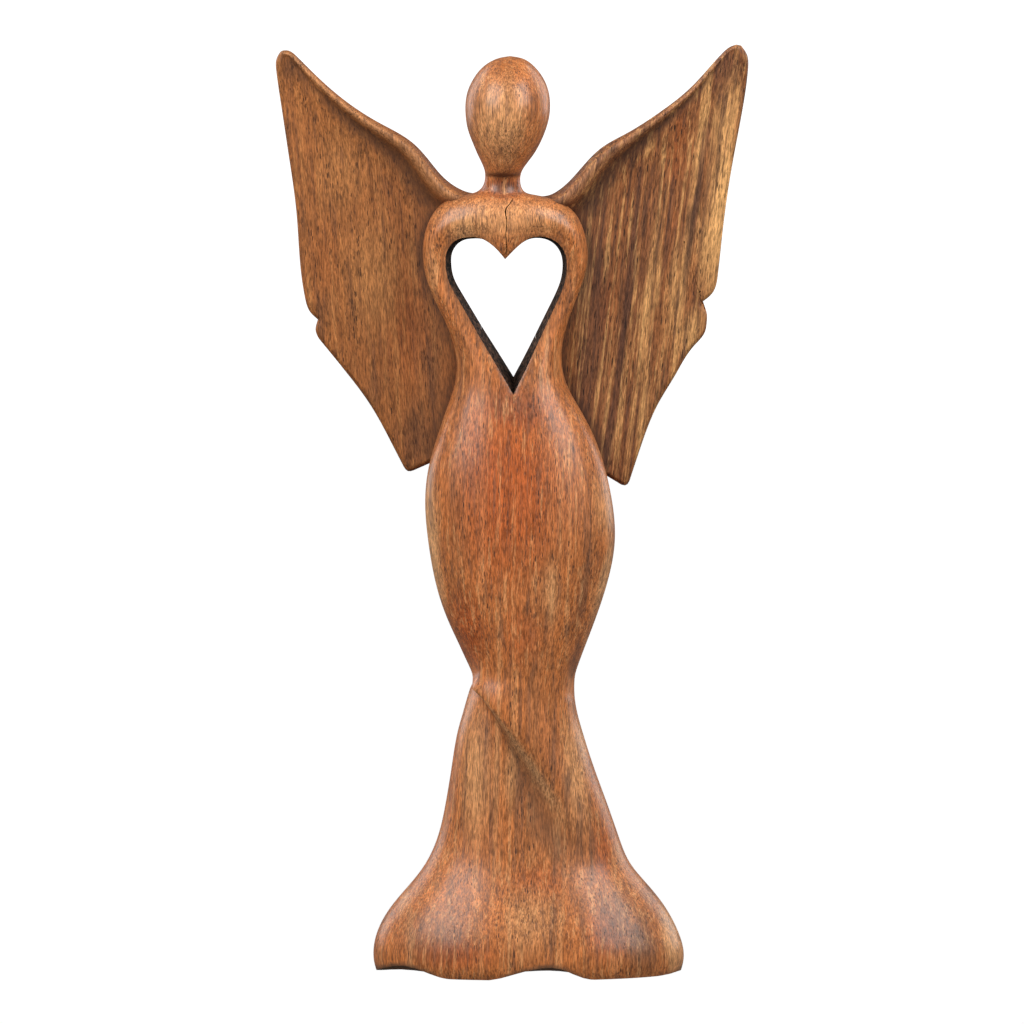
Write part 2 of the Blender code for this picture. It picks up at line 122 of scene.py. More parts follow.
figureShape = {
    # height, left, right, depth to the front, depth to the back, squareness of the section
    "stations": [
        (0.0, -44.3, 54.0, 28.4, 28.2, 2.15),
        (3.0, -45.1, 54.8, 29.0, 29.0, 2.15),
        (6.0, -45.3, 54.9, 29.0, 29.0, 2.15),
        (12.0, -44.2, 53.3, 28.0, 28.0, 2.1),
        (20.0, -40.0, 49.2, 25.3, 25.0, 2.1),
        (28.0, -33.4, 43.0, 22.3, 21.5, 2.1),
        (35.0, -28.2, 37.4, 20.3, 19.2, 2.1),
        (43.0, -24.6, 34.0, 19.2, 17.6, 2.1),
        (55.0, -21.8, 29.8, 18.5, 16.6, 2.1),
        (66.0, -20.0, 25.8, 18.3, 16.3, 2.1),
        (78.0, -17.9, 22.0, 18.4, 16.6, 2.1),
        (84.0, -16.2, 20.4, 18.6, 16.9, 2.1),
        (89.5, -14.6, 19.6, 18.8, 17.2, 2.1),
        (93.5, -13.3, 19.6, 19.0, 17.5, 2.1),
        (95.0, -13.0, 19.7, 19.0, 17.6, 2.1),
        (98.5, -14.3, 20.6, 19.2, 17.9, 2.1),
        (105.0, -17.4, 23.0, 19.6, 18.6, 2.1),
        (116.5, -22.4, 27.3, 20.0, 19.8, 2.1),
        (128.0, -25.7, 30.8, 20.2, 20.5, 2.1),
        (139.5, -27.6, 32.6, 20.0, 20.6, 2.1),
        (151.0, -28.5, 31.8, 19.3, 19.8, 2.1),
        (163.0, -27.3, 29.2, 17.8, 17.6, 2.15),
        (172.5, -24.6, 25.9, 16.2, 15.2, 2.2),
        (182.0, -21.4, 21.0, 14.4, 12.8, 2.25),
        (189.0, -19.1, 17.2, 13.2, 11.5, 2.3),
        (196.0, -18.3, 15.5, 12.6, 10.8, 2.35),
        (202.5, -19.4, 15.7, 12.3, 10.4, 2.4),
        (210.0, -22.2, 17.6, 12.3, 10.2, 2.4),
        (217.5, -25.8, 20.3, 12.4, 10.2, 2.4),
        (225.0, -28.4, 22.9, 12.5, 10.2, 2.4),
        (232.0, -29.2, 23.8, 12.5, 10.2, 2.4),
        (238.5, -28.4, 22.6, 12.1, 10.0, 2.4),
        (243.5, -26.4, 20.4, 11.3, 9.5, 2.35),
        (247.2, -23.4, 16.6, 9.9, 8.7, 2.3),
        (249.4, -19.4, 11.4, 8.6, 7.8, 2.2),
        (250.6, -14.8, 5.6, 7.4, 7.0, 2.1),
        (251.6, -11.4, 3.2, 6.7, 6.4, 2.0),
        (253.4, -9.8, 2.3, 6.3, 6.0, 2.0),
        (255.8, -9.2, 2.1, 6.6, 6.0, 2.0),
        (257.4, -9.2, 2.4, 7.5, 6.3, 2.0),
        (259.6, -9.8, 3.6, 9.3, 7.6, 2.0),
        (263.2, -11.5, 6.3, 12.4, 10.0, 2.0),
        (267.2, -13.2, 8.6, 14.4, 12.3, 2.0),
        (271.3, -14.7, 10.3, 15.6, 14.2, 2.0),
        (275.4, -15.4, 11.4, 16.3, 15.4, 2.0),
        (279.5, -15.5, 11.7, 16.3, 15.8, 2.0),
        (283.6, -14.8, 11.2, 15.3, 15.2, 2.0),
        (287.7, -12.9, 9.6, 13.1, 13.1, 2.0),
        (291.4, -9.9, 6.8, 9.8, 9.9, 2.0),
        (293.9, -5.9, 3.5, 5.6, 5.7, 2.0),
        (294.9, -1.22, -1.18, 0.02, 0.02, 2.0),
    ],
    "columns": 240,
    "waistCalm": 11.0,  # how far up and down the nipped waist is smoothed away on the front and the back
    "waistFrom": 60.0, "waistTo": 150.0,
    "sideFrom": 0.62,  # the sides, drawn back to the outline, begin this far out
    "rowStep": [(0, 0.9), (24, 1.0), (40, 1.0), (150, 1.1), (175, 0.75), (252, 0.7), (262, 0.7), (300, 0.9)],
    # the two folds of the gown: the cloth above and to the right of each line stands proud
    "folds": [
        {
            "line": [(33, 38), (37, 34.5), (51, 21), (68, 4), (79, -14), (87, -35), (92, -56), (97.5, -90),
                     (104, -122), (115, -160)],
            "height": [(30, 0), (40, 0.4), (54, 1.4), (68, 2), (88, 2.3), (98, 2), (108, 1.1), (118, 0)],
            "width": [(34, 6.5), (60, 3.6), (80, 1.7), (98, 1.0), (116, 2.6)],
        },
        {
            "line": [(33, 224), (49, 204), (65, 178), (78, 150), (85, 120), (90, 98), (95, 82), (101, 70),
                     (107, 62), (115, 56)],
            "height": [(30, 0), (44, 0.7), (62, 1.5), (76, 1.4), (85, 0.9), (92, 0.5), (98, 0.3), (112, 0)],
            "width": [(34, 6.5), (60, 3.8), (78, 3.2), (95, 3.8), (116, 4.2)],
        },
    ],
    "foldReach": 13.0,
    "crowding": 0.5,  # how far the columns crowd towards the folds
    "chinHeight": 257.1, "chinStep": 2.2, "chinReach": 6.5,  # the chin's crisp lower edge
    "browRidge": 0.55,  # the faint ridge down the middle of the egg-shaped face
    # how far the arms roll back towards the rim of the heart, by height
    "rimDip": [(184, 0.3), (192, 0.8), (203, 1.6), (214, 2.4), (228, 2.9), (237, 2.3), (246, 1.8)],
    "rimReach": 3.6,
    "rimRound": 0.5,  # radius of the rim's worn edge
    # the wave cut into the underside: x and height
    "hemWave": [
        (-48.0, 0.8), (-44.0, 1.4), (-40.0, 2.9), (-36.6, 3.6), (-32.4, 3.0), (-28.2, 1.5), (-24.6, 0.4),
        (-22.0, 0.0), (-9.0, 0.0), (-5.6, 0.6), (-1.0, 1.9), (3.0, 3.0), (7.0, 3.8), (10.6, 4.1), (14.4, 3.4),
        (18.0, 1.8), (21.4, 0.5), (24.0, 0.0), (46.0, 0.0), (50.0, 0.3), (53.0, 0.9), (56, 2.0), (58, 3.0),
    ],
    "hemSkew": 3.0,
    # from front to back, as a share of the foot's depth there, and how much of the wave's height is left
    "hemDepth": [(-0.8, 1.0), (-0.36, 0.3), (0.36, 0.3), (0.8, 1.0)],
    "hemLobe": 0.36,  # how far the foot's wall draws in over each arch, as a share of the arch's height
}

heartShape = {
    "left": [
        (-2.8, 230.2), (-5.4, 233.3), (-8.4, 235.8), (-11.8, 237.3), (-14.9, 237.4), (-18.2, 236.8),
        (-20.9, 234.8), (-22.4, 231.8), (-22.6, 228.3), (-21.9, 223.9), (-19.2, 218.4), (-15.7, 212.5),
        (-10.8, 204.2), (-5.9, 196.3), (-0.1, 186.7),
    ],
    "right": [
        (-0.1, 186.7), (3.4, 193.5), (7.0, 200.8), (11.0, 209.1), (14.6, 216.4), (17.0, 222.4), (17.7, 227.9),
        (17.2, 231.5), (15.2, 234.9), (12.3, 236.9), (8.9, 237.6), (5.4, 237.1), (2.4, 235.3), (-0.3, 232.8),
        (-2.8, 230.2),
    ],
    "middle": (-2.4, 217.0),
    "front": -13.0, "depth": 24.0,  # the outline lies on the plane y = front
    "backScale": 0.88, "backShift": (0.3, 0.9),
    "overcut": 8.0,  # how far the cutter runs past the figure at each end
    "step": 0.8,
    # the fine drying check from the pit of the neck down to the cusp: x, height and width
    "check": [(-0.2, 249.8, 0.10), (-1.0, 248.2, 0.34), (-2.5, 246.2, 0.42), (-2.2, 242.5, 0.30),
              (-2.5, 238.5, 0.22), (-2.3, 234.5, 0.26), (-2.5, 231.0, 0.12)],
    "checkDepth": 0.8,
    "breastbone": [(230, -9.4), (236, -10.4), (242, -10.6), (247, -9.6), (249.5, -8.2)],  # height and surface
}

spanMiddle = min(s[1] for s in figureShape["stations"]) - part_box("figure")[0][0] / mm
heartOutline = np.vstack([smoothLine(heartShape["left"], heartShape["step"])[:-1],
                          smoothLine(heartShape["right"], heartShape["step"])[:-1]])
closedHeart = np.vstack([heartOutline, heartOutline[:1]])


def figureSections():
    # rows of (height, left, right, front, back, squareness), close together where the carving is fine
    stations = np.array(figureShape["stations"])
    profile = np.column_stack([stations[:, 0], (stations[:, 2] - stations[:, 1]) / 2, stations[:, 3]])
    along = chordLengths(profile)
    fine = cubicCurve(along, stations, np.linspace(0, along[-1], 3000))
    fineAlong = chordLengths(fine[:, [0, 2]])
    places, at = [0.0], 0.0
    while at < fineAlong[-1]:
        at += readTable(figureShape["rowStep"], np.interp(at, fineAlong, fine[:, 0]))
        places.append(min(at, fineAlong[-1]))
    sections = np.column_stack([np.interp(places, fineAlong, fine[:, k]) for k in range(6)])
    sections = softenRows(sections, 1)
    # a calmer copy of the left and right sides, for the parts of the form that face the front or back
    calm = sections[:, 1:3].copy()
    waist = (sections[:, 0] > figureShape["waistFrom"]) & (sections[:, 0] < figureShape["waistTo"])
    places = sections[waist, 0]
    weights = np.exp(-(((places[:, None] - places[None]) / figureShape["waistCalm"]) ** 2))
    mean = weights @ calm[waist] / weights.sum(axis=1, keepdims=True)
    blend = (ease(62, 80, places) * ease(148, 125, places))[:, None]
    calm[waist] += (mean - calm[waist]) * blend
    return np.column_stack([sections, calm])


def foldAzimuth(fold, height):
    places, angles = zip(*fold["line"])
    return float(cubicCurve(places, angles, [min(max(height, places[0]), places[-1])])[0, 0])


def columnAzimuths(height, columns):
    # the columns of faces follow the folds and crowd round them
    height = min(max(height, 30.0), 116.0)
    first, second = (math.radians(foldAzimuth(fold, height)) for fold in figureShape["folds"])
    crowding = figureShape["crowding"] * ease(30, 42, height) * ease(116, 106, height)
    half = columns // 2
    share = np.arange(half) / half
    share = share - crowding * np.sin(2 * math.pi * share) / (2 * math.pi)
    return np.concatenate([first + (second - first) * share, second + (first + 2 * math.pi - second) * share])


def foldSwell(azimuth, height, radius):
    swell = np.zeros_like(azimuth)
    for fold in figureShape["folds"]:
        turn = (azimuth - math.radians(foldAzimuth(fold, height)) + math.pi) % (2 * math.pi) - math.pi
        away = turn * radius
        step = np.tanh(away / readTable(fold["width"], height))
        swell += readTable(fold["height"], height) * step * np.exp(-((away / figureShape["foldReach"]) ** 2))
    return swell


def hemHeight(x, y):
    places, heights = zip(*figureShape["hemWave"])
    return np.interp(x + figureShape["hemSkew"] * y / 68, places, heights)


def sectionRing(section, azimuth):
    height, left, right, front, back, square, calmLeft, calmRight = section
    s, c = np.sin(azimuth), np.cos(azimuth)
    out = foldSwell(azimuth, height, math.sqrt(max((right - left) * (front + back) / 4, 0.01)))
    across = np.sign(s) * np.abs(s) ** (2 / square)
    sharp = ease(0.7, 1.0, np.abs(across))
    west = calmLeft + (left - calmLeft) * sharp
    east = calmRight + (right - calmRight) * sharp
    x = (west + east) / 2 + (east - west) / 2 * across + out * s
    depth = np.where(c > 0, front, back)
    y = -depth * np.sign(c) * np.abs(c) ** (2 / square) - out * c
    # the foot draws in a little over each arch
    lobe = figureShape["hemLobe"] * hemHeight(x, y) * ease(34, 4, height)
    y = y + lobe * c
    # the sides are drawn back to the outline, and the front and back stay where they are
    sideFrom = figureShape["sideFrom"]
    x = x + (left - x.min()) * ease(sideFrom, 1, -across) + (right - x.max()) * ease(sideFrom, 1, across)
    # chin: a small step out at the front, fading up into the face
    rise = height - figureShape["chinHeight"]
    chin = figureShape["chinStep"] * ease(-0.45, 0.35, rise) * ease(figureShape["chinReach"], 0.5, rise)
    y = y - chin * np.clip(c, 0, 1) ** 1.5
    ridge = figureShape["browRidge"] * ease(257, 263, height) * ease(281, 270, height)
    turn = (azimuth + math.pi) % (2 * math.pi) - math.pi
    y = y - ridge * np.exp(-np.abs(turn / 0.42) ** 1.3)
    return x, y


def rollToRim(x, y, z):
    # the arms' front face rolls back towards the rim of the heart
    near = (y < 0) & (z > 178) & (z < 252) & (np.abs(x - heartShape["middle"][0]) < 32)
    outside = lineDistance(x[near], z[near], closedHeart)
    outside[insideLine(x[near], z[near], heartOutline)] = 0
    amount = readTable(figureShape["rimDip"], z[near])
    cusp = np.exp(-(((x[near] + 2.8) / 6.5) ** 2)) * ease(226, 234, z[near])
    roll = amount * (1 - 0.45 * cusp) * np.exp(-((outside / figureShape["rimReach"]) ** 2))
    radius = figureShape["rimRound"]
    inset = np.clip(1 - outside / radius, 0, 1)
    roll += radius * (1 - np.sqrt(np.clip(1 - inset ** 2, 0, 1))) * 0.8
    y = y.copy()
    y[near] = np.minimum(y[near] + roll, -0.5)
    return y


def figureBack(x, z, sections):
    left, right, depth, square = (np.interp(z, sections[:, 0], sections[:, k]) for k in (1, 2, 4, 5))
    share = np.clip(np.abs(x - (left + right) / 2) / ((right - left) / 2), 0, 1)
    return depth * (1 - share ** square) ** (1 / square), share


# Meshes

def meshObject(name, points, faces, smooth=True):
    mesh = bpy.data.meshes.new(name)
    placed = (np.array(points, float) - [spanMiddle, 0, 0]) * mm
    mesh.from_pydata(placed.tolist(), [], faces)
    shape = bmesh.new()
    shape.from_mesh(mesh)
    bmesh.ops.remove_doubles(shape, verts=shape.verts, dist=1e-6)
    bmesh.ops.recalc_face_normals(shape, faces=shape.faces)
    shape.to_mesh(mesh)
    shape.free()
    if smooth:
        mesh.shade_smooth()
    made = bpy.data.objects.new(name, mesh)
    bpy.context.scene.collection.objects.link(made)
    return made


def bridgeRows(rows, closed):
    faces = []
    for a, b in zip(rows[:-1], rows[1:]):
        for i in range(len(a) if closed else len(a) - 1):
            j = (i + 1) % len(a)
            faces.append([a[i], a[j], b[j], b[i]])
    return faces


def prism(name, outline, front, back, backOutline=None):
    backOutline = outline if backOutline is None else backOutline
    count = len(outline)
    points = [(x, front, z) for x, z in outline] + [(x, back, z) for x, z in backOutline]
    numbers = np.arange(2 * count).reshape(2, count).tolist()
    faces = bridgeRows(numbers, closed=True) + [numbers[0], numbers[1]]
    return meshObject(name, points, faces, smooth=False)


def carveWith(piece, cutters, operation="DIFFERENCE"):
    # cuts the piece with every cutter in one go, then bakes the result into its mesh
    group = bpy.data.collections.new(piece.name + "Cutters")
    for cutter in cutters:
        group.objects.link(cutter)
    modifier = piece.modifiers.new("carve", "BOOLEAN")
    modifier.operation = operation
    modifier.solver = "EXACT"
    modifier.operand_type = "COLLECTION"
    modifier.collection = group
    modifier.material_mode = "TRANSFER"
    bakeModifiers(piece)
    bpy.data.collections.remove(group)


def bakeModifiers(piece):
    bpy.context.view_layer.update()
    graph = bpy.context.evaluated_depsgraph_get()
    mesh = bpy.data.meshes.new_from_object(piece.evaluated_get(graph))
    piece.modifiers.clear()
    piece.data = mesh


def finishCarving(piece, angle=38):
    # welds what the cutting left, drops slivers and keeps only the real corners sharp
    shape = bmesh.new()
    shape.from_mesh(piece.data)
    bmesh.ops.remove_doubles(shape, verts=shape.verts, dist=4e-6)
    bmesh.ops.dissolve_degenerate(shape, dist=2e-6, edges=shape.edges)
    shape.to_mesh(piece.data)
    shape.free()
    piece.data.shade_smooth()
    piece.data.set_sharp_from_angle(angle=math.radians(angle))


def paint(piece, name, amount):
    # one number for each point, read by the wood: one layer darkens it with painted shade and some stain in
    # the creases, the other pales it as a painted highlight
    layer = piece.data.attributes.new(name, "FLOAT", "POINT")
    layer.data.foreach_set("value", np.clip(amount, 0, 1).astype(np.float32))


def pointsOf(piece):
    flat = np.empty(len(piece.data.vertices) * 3, np.float32)
    piece.data.vertices.foreach_get("co", flat)
    return flat.reshape(-1, 3).astype(float) / mm + [spanMiddle, 0, 0]


def loftFigure(name, columns, low=-10.0, high=400.0, grow=0.0, roll=True):
    # the figure's outer form between two heights, before anything is cut from it
    sections = figureSections()
    sections = sections[(sections[:, 0] >= low) & (sections[:, 0] <= high)]
    rings = []
    for section in sections:
        azimuth = columnAzimuths(section[0], columns)
        x, y = sectionRing(section, azimuth)
        z = np.full_like(x, section[0])
        if roll:
            y = rollToRim(x, y, z)
        rings.append(np.column_stack([x, y, z]))
    if low < 0:
        rings.insert(0, rings[0] * [1, 1, 0] - [0, 0, 2.0])
    points = np.vstack(rings)
    numbers = np.arange(len(points)).reshape(len(rings), columns).tolist()
    faces = bridgeRows(numbers, closed=True) + [numbers[0], numbers[-1]]
    made = meshObject(name, points, faces)
    if grow:
        mesh = made.data
        for vertex, normal in zip(mesh.vertices, [v.normal.copy() for v in mesh.vertices]):
            vertex.co += normal * grow * mm
    return made


# The wings: two boards let into the figure's back

wingShapes = {
    "leftWing": {
        "side": -1,
        "node": "left_wing",
        "top": [
            (-10.5, 250.6), (-14.2, 250.9), (-18.2, 252.5), (-22.8, 256.0), (-27.3, 261.3), (-32.6, 266.9),
            (-43.4, 273.3), (-54.4, 280.4), (-63.6, 288.3), (-69.9, 294.5), (-72.8, 296.4), (-74.4, 296.4),
        ],
        "lower": [
            [(-10.5, 170.6), (-20.0, 166.6), (-27.2, 163.4), (-32.2, 161.1)],
            [(-32.2, 161.1), (-34.2, 160.8), (-35.5, 162.2)],
            [(-35.5, 162.2), (-39.1, 169.2), (-46.2, 182.0), (-54.7, 193.4), (-62.9, 203.4)],
            [(-62.9, 203.4), (-64.0, 206.1), (-63.2, 209.6)],
            [(-63.2, 209.6), (-66.0, 212.4), (-67.4, 216.6), (-68.7, 225.0), (-70.1, 243.8), (-72.7, 263.2),
             (-74.9, 278.0), (-76.6, 290.0), (-76.5, 293.7), (-75.2, 296.0)],
        ],
        "ridgeHeight": [(8, 9.5), (20, 9), (27, 6.4), (36, 4.2), (46, 2.9), (58, 1.9), (70, 0.9), (76, 0.2)],
        "ridgeWidth": [(8, 6.4), (24, 6.2), (34, 5.0), (46, 3.6), (58, 2.6), (70, 1.8), (76, 1.2)],
    },
    "rightWing": {
        "side": 1,
        "node": "right_wing",
        "top": [
            (7.0, 249.8), (10.8, 249.9), (14.4, 251.6), (20.7, 257.6), (28.2, 265.2), (36.4, 269.9),
            (46.6, 276.3), (56.9, 284.4), (67.1, 295.4), (69.8, 297.6), (71.8, 298.3),
        ],
        "lower": [
            [(7.0, 171.2), (23.4, 163.2), (30.2, 159.2), (34.8, 156.4)],
            [(34.8, 156.4), (36.3, 156.2), (37.4, 157.6)],
            [(37.4, 157.6), (41.1, 168.8), (46.5, 182.2), (52.1, 191.6), (58.4, 201.3), (61.7, 205.4),
             (62.4, 209.0), (62.4, 211.6), (60.7, 215.2)],
            [(60.7, 215.2), (64.3, 218.3), (66.0, 224.4), (67.4, 237.4), (70.1, 256.9), (73.6, 276.0),
             (75.6, 290.2), (75.3, 294.9), (73.3, 298.0)],
        ],
        "ridgeHeight": [(8, 9), (18, 8.6), (26, 6.2), (36, 3.4), (46, 2), (58, 1.1), (70, 0.4), (76, 0.1)],
        "ridgeWidth": [(8, 6.2), (22, 6.4), (30, 5.6), (40, 3.4), (52, 2.0), (64, 1.4), (76, 1.0)],
    },
}

wingMake = {
    "seat": 4.5, "gap": 0.3, "glueLine": 0.06,
    "seatTop": 260.0, "seatFoot": 148.0, "seatReach": 45.0,  # the seat cutters run out past the shoulder
    "sweep": math.radians(9), "sweepStart": 20.0,
    "thickness": [(10, 6.2), (30, 6.0), (55, 5.0), (76, 4.0)],
    "dish": 1.3, "dishMargin": 15.0,
    "edgeRound": 1.5,
    "underShade": 0.8,  # how dark the painted shade in the cove under the ridge is
    "step": 1.1, "rows": 84,
}


def wingDepths(x, z, shape, top, outline, sections):
    out = shape["side"] * x
    lean = np.tan(wingMake["sweep"]) * np.maximum(0, out - wingMake["sweepStart"])
    base = wingMake["seat"] + wingMake["glueLine"] + lean
    fromTop = lineDistance(x, z, top)
    width = readTable(shape["ridgeWidth"], out)
    t = fromTop / width
    bead = np.sqrt(np.clip(1 - (np.clip(t, 0, 1) * 2 - 1) ** 2, 0, 1))
    bead = np.where(t < 0.5, 0.35 + 0.65 * bead, bead)
    cove = 0.34 * ease(1.55, 0.86, t)
    ridge = readTable(shape["ridgeHeight"], out) * np.maximum(np.where(t < 1, bead, 0), cove)
    hollow = wingMake["dish"] * ease(0, wingMake["dishMargin"], fromTop)
    hollow = hollow * ease(wingMake["sweepStart"], wingMake["sweepStart"] + 14, out)
    front = base + hollow - ridge
    flush, share = figureBack(x, z, sections)
    free = ease(0.5, 0.95, share)
    back = (1 - free) * np.maximum(flush, base + 3.6) + free * (base + readTable(wingMake["thickness"], out))
    # both faces round over to meet at the edges
    fromEdge = np.minimum(fromTop, lineDistance(x, z, outline))
    inward = np.clip(fromEdge / wingMake["edgeRound"], 0, 1)
    rootPart = ease(14, 10.6, out) * (z < 245)
    fullness = np.sqrt(1 - (1 - inward) ** 2) * (1 - rootPart) + rootPart
    middle = (np.maximum(front, base - 1.5) + back) / 2
    return middle + (front - middle) * fullness, middle + (back - middle) * fullness


def buildWing(name, shape, sections):
    runs = [smoothLine(run, wingMake["step"]) for run in shape["lower"]]
    lower = np.vstack([runs[0][:1]] + [run[1:] for run in runs])
    along = chordLengths(shape["top"])
    top = cubicCurve(along, shape["top"], np.linspace(0, along[-1], len(lower)))
    share = (0.5 - 0.5 * np.cos(np.linspace(0, math.pi, wingMake["rows"] + 1)))[:, None, None]
    grid = top[None] * (1 - share) + lower[None] * share
    x, z = grid[..., 0], grid[..., 1]
    outline = np.vstack([lower, top[-1:]])
    front, back = wingDepths(x, z, shape, top, outline, sections)
    rows, columns = x.shape
    points = np.vstack([np.dstack([x, y, z]).reshape(-1, 3) for y in (front, back)])
    numbers = np.arange(2 * rows * columns).reshape(2, rows, columns)
    faces = bridgeRows(numbers[0].tolist(), closed=False) + bridgeRows(numbers[1].tolist(), closed=False)
    for rim in [numbers[..., 0, :], numbers[..., -1, :], numbers[..., :, 0], numbers[..., :, -1]]:
        faces += bridgeRows(rim.tolist(), closed=False)
    return meshObject(name, points, faces), top


# Cutters

def heartCutter():
    middle = np.array(heartShape["middle"])

    def outlineAt(y):
        share = (y - heartShape["front"]) / heartShape["depth"]
        size = 1 + (heartShape["backScale"] - 1) * share
        return middle + (heartOutline - middle) * size + np.array(heartShape["backShift"]) * share

    front = heartShape["front"] - heartShape["overcut"]
    back = heartShape["front"] + heartShape["depth"] + heartShape["overcut"]
    return prism("heartCutter", outlineAt(front), front, back, outlineAt(back))


def checkCutter():
    # a slot a hair wide that follows the check down the breastbone
    x, z, width = smoothLine(heartShape["check"], 0.6).T
    left = np.column_stack([x - width / 2, z])
    right = np.column_stack([x + width / 2, z])[::-1]
    outline = np.vstack([left, right])
    surface = readTable(heartShape["breastbone"], outline[:, 1])
    count = len(outline)
    points = [(px, -20.0, pz) for px, pz in outline]
    points += [(px, y + heartShape["checkDepth"], pz) for (px, pz), y in zip(outline, surface)]
    numbers = np.arange(2 * count).reshape(2, count).tolist()
    strips = [[i, i + 1, count - 2 - i, count - 1 - i] for i in range(count // 2 - 1)]
    faces = bridgeRows(numbers, closed=True) + strips + [[n + count for n in strip] for strip in strips]
    return meshObject("checkCutter", points, faces, smooth=False)


def hemCutter():
    # the wave in the underside, hollowed deepest at the foot's front and back edges
    wave = smoothLine(figureShape["hemWave"], 1.2)
    wave[:, 1] = np.interp(wave[:, 0], *zip(*figureShape["hemWave"]))
    x, z = np.vstack([wave, [(70.0, -6.0), (-60.0, -6.0)]]).T
    _, left, right, front = figureShape["stations"][1][:4]
    across = np.clip((x - (left + right) / 2) / ((right - left) / 2), -1, 1)
    reach = 4.0 + front * np.sqrt(1 - across ** 2)
    rings = [(np.full_like(x, -36.0), 1.0)]
    rings += [(depth * reach, share) for depth, share in figureShape["hemDepth"]]
    rings += [(np.full_like(x, 36.0), 1.0)]
    points = []
    for y, share in rings:
        skewed = x - figureShape["hemSkew"] * y / 68
        points.append(np.column_stack([skewed, y, np.where(z > 0, z * share, z)]))
    numbers = np.arange(len(rings) * len(x)).reshape(len(rings), len(x)).tolist()
    faces = bridgeRows(numbers, closed=True) + [numbers[0], numbers[-1]]
    return meshObject("hemCutter", np.vstack(points), faces, smooth=False)


def seatCutter(name, shape):
    side, root = shape["side"], shape["lower"][0]
    inner = root[0][0] - side * wingMake["glueLine"]
    floor = [(x, z - wingMake["glueLine"]) for x, z in root[1:-1]]
    outer, top = side * wingMake["seatReach"], wingMake["seatTop"]
    outline = [(inner, top), (inner, root[0][1] - wingMake["glueLine"]), *floor,
               (outer, wingMake["seatFoot"]), (outer, top)]
    return prism(name, outline, wingMake["seat"], 40.0)


def boreCutter(dowel, sides=32):
    low, high = (np.array(corner) / mm + [spanMiddle, 0, 0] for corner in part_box(dowel))
    radius = (high[0] - low[0]) / 2 + wingMake["gap"]
    x, z = (low[0] + high[0]) / 2, (low[2] + high[2]) / 2
    turns = np.arange(sides) * 2 * math.pi / sides
    outline = [(x + radius * math.cos(t), z + radius * math.sin(t)) for t in turns]
    return prism(dowel + "Bore", outline, low[1] - wingMake["gap"], high[1] + wingMake["gap"])


def shoulderCutter():
    # the figure's form, a glue line larger all round, in front of the seats
    grown = loftFigure("shoulderForm", 120, low=150, high=262, grow=wingMake["glueLine"], roll=False)
    box = [(-60, 140), (60, 140), (60, 280), (-60, 280)]
    inFront = prism("inFrontOfSeats", box, -60.0, wingMake["seat"] + wingMake["glueLine"])
    carveWith(grown, [inFront], "INTERSECT")
    bpy.data.objects.remove(inFront)
    return grown


# Wood, as nodes

def addNode(tree, kind, inputs=None, **settings):
    made = tree.nodes.new(kind)
    for name, value in settings.items():
        setattr(made, name, value)
    for name, value in (inputs or {}).items():
        if isinstance(value, bpy.types.NodeSocket):
            tree.links.new(value, made.inputs[name])
        else:
            made.inputs[name].default_value = value
    return made


def calc(tree, operation, first, second=0.0, clamp=False):
    inputs = {0: first, 1: second}
    return addNode(tree, "ShaderNodeMath", inputs, operation=operation, use_clamp=clamp).outputs[0]


def fade(tree, value, fromLow, fromHigh, toLow=0.0, toHigh=1.0):
    made = addNode(tree, "ShaderNodeMapRange", {0: value, 1: fromLow, 2: fromHigh, 3: toLow, 4: toHigh},
                   interpolation_type="SMOOTHSTEP")
    return made.outputs[0]


def blendColour(tree, factor, below, above, mode="MIX"):
    made = addNode(tree, "ShaderNodeMix", {0: factor, 6: below, 7: above}, data_type="RGBA", blend_type=mode)
    return made.outputs[2]


def stretched(tree, vector, scale):
    made = addNode(tree, "ShaderNodeVectorMath", {0: vector, 1: scale}, operation="MULTIPLY")
    return made.outputs[0]


def noise(tree, vector, scale, detail=2.0, roughness=0.5):
    made = addNode(tree, "ShaderNodeTexNoise", {"Vector": stretched(tree, vector, scale), "Scale": 1.0,
                                                "Detail": detail, "Roughness": roughness})
    return made


def warped(tree, vector, scale, amount):
    # pushes the coordinates about, so that nothing runs dead straight
    push = noise(tree, vector, scale, detail=1.0).outputs["Color"]
    middle = (0.5, 0.5, 0.5)
    centred = addNode(tree, "ShaderNodeVectorMath", {0: push, 1: middle}, operation="SUBTRACT").outputs[0]
    scaled = stretched(tree, centred, (amount, amount, 0.0))
    return addNode(tree, "ShaderNodeVectorMath", {0: vector, 1: scaled}, operation="ADD").outputs[0]


def markMask(tree, vector, marks):
    # soft patches at stated places: x, height, half width, half height, lean in degrees, strength
    total = None
    for x, z, halfWidth, halfHeight, lean, strength in marks:
        local = addNode(tree, "ShaderNodeMapping", {
            "Vector": vector,
            "Location": ((x - spanMiddle) * mm, 0.0, z * mm),
            "Rotation": (0.0, math.radians(lean), 0.0),
            "Scale": (halfWidth * mm, 1000.0, halfHeight * mm),
        }, vector_type="TEXTURE").outputs[0]
        length = addNode(tree, "ShaderNodeVectorMath", {0: local}, operation="LENGTH").outputs["Value"]
        soft = fade(tree, length, 0.15, 1.0, strength, 0.0)
        total = soft if total is None else calc(tree, "MAXIMUM", total, soft)
    return total


